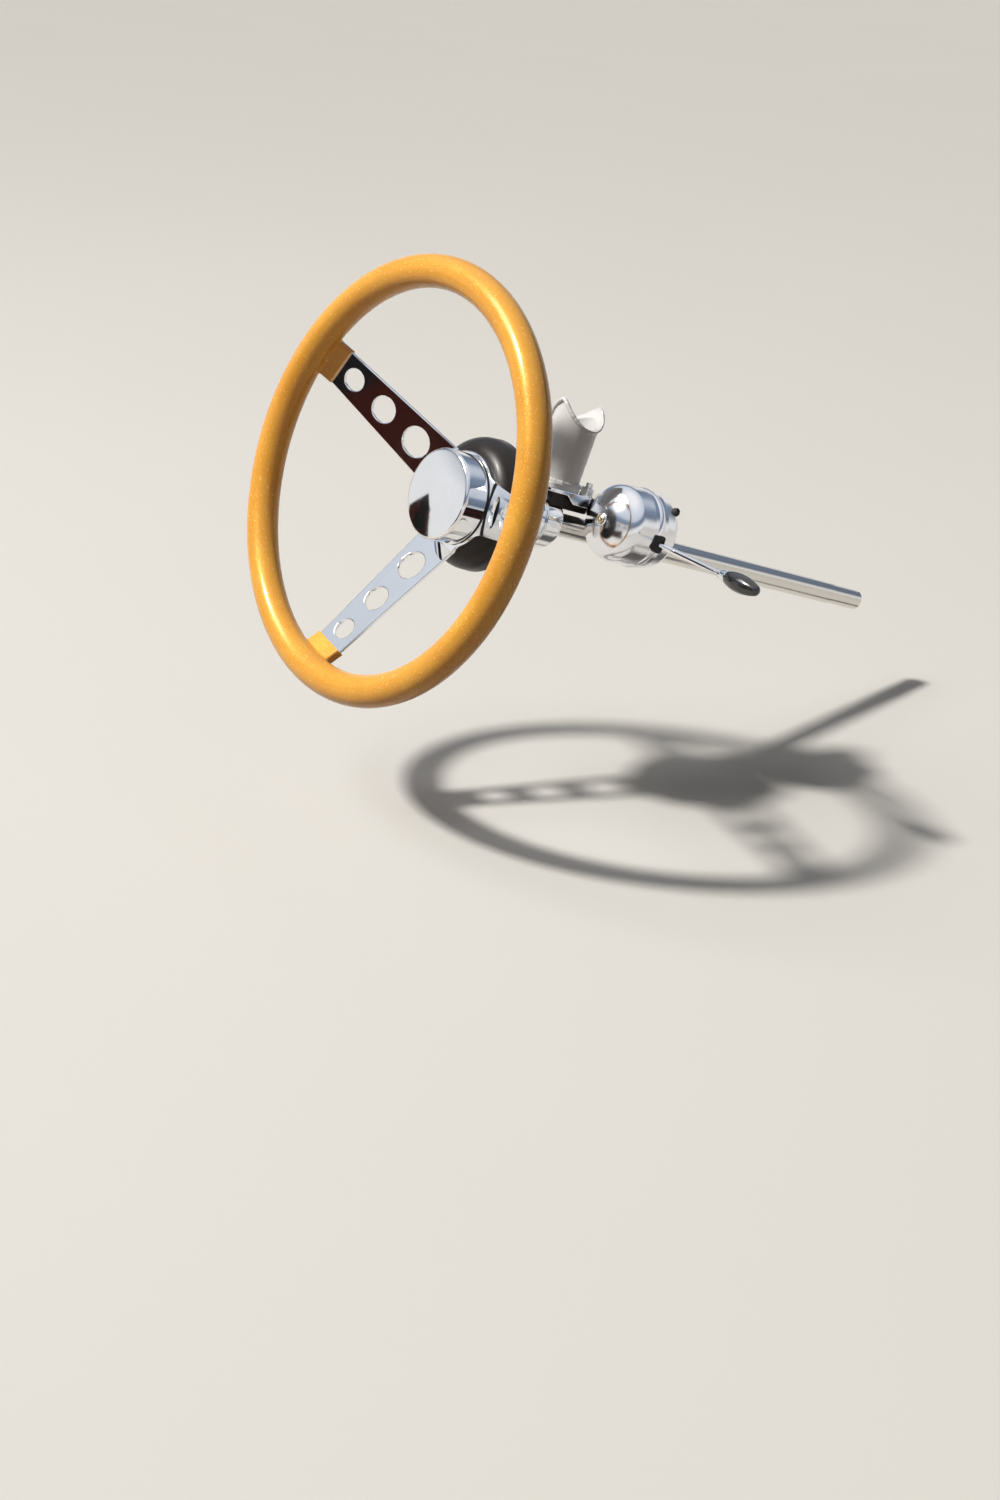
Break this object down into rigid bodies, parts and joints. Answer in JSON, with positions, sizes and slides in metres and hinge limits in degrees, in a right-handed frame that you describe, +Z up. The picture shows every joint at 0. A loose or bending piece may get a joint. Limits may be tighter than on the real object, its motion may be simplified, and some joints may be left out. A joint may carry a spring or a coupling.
{
  "type": "steering wheel and column",
  "caption": "Dished steering wheel with pierced spokes and a round grip, on a shaft in a bearing hung from a dash bar, with a turn-signal switch and its lever beside it.",
  "frame": {"origin": "on the axis of the dash bar that the hanger is coped to, in the car's fore-and-aft plane through the column", "axes": "+X to the car's right along the dash bar, +Y forward, +Z up, as the part sits in the car with its column tilted 19.5 degrees"},
  "size_m": [0.3675, 0.5961, 0.3574],
  "materials": {
    "amber_grip": "clear gloss over fine metal flake",
    "chrome": "polished plating",
    "black_enamel": "satin",
    "black_seal": "matte",
    "grey_paint": "semi-gloss",
    "polished_steel": "polished",
    "bronze": "machined",
    "black_plastic": "gloss"
  },
  "bodies": {
    "column": {"jacket": "chrome", "bush_front": "bronze", "bush_back": "bronze", "jacket_band": "chrome", "saddle": "black_enamel", "channel": "chrome", "hanger_foot": "grey_paint", "hanger": "grey_paint", "switch_front": "chrome", "switch_rear": "chrome", "switch_band": "chrome", "lever_grommet": "black_seal", "lever_rod": "chrome", "lever_ferrule": "chrome", "lever_tip": "black_plastic"},
    "wheel": {"spoke_frame": "chrome", "rim_grip": "amber_grip", "horn_cap": "chrome", "cap_seat": "black_seal", "bell": "black_enamel", "hub": "polished_steel", "shaft": "polished_steel"}
  },
  "joints": [
    {"name": "wheel_turn", "type": "hinge", "parent": "column", "child": "wheel", "pos_m": [0, -0.18215, -0.04105], "axis": [0, -0.9426, 0.3338], "continuous": true}
  ]
}
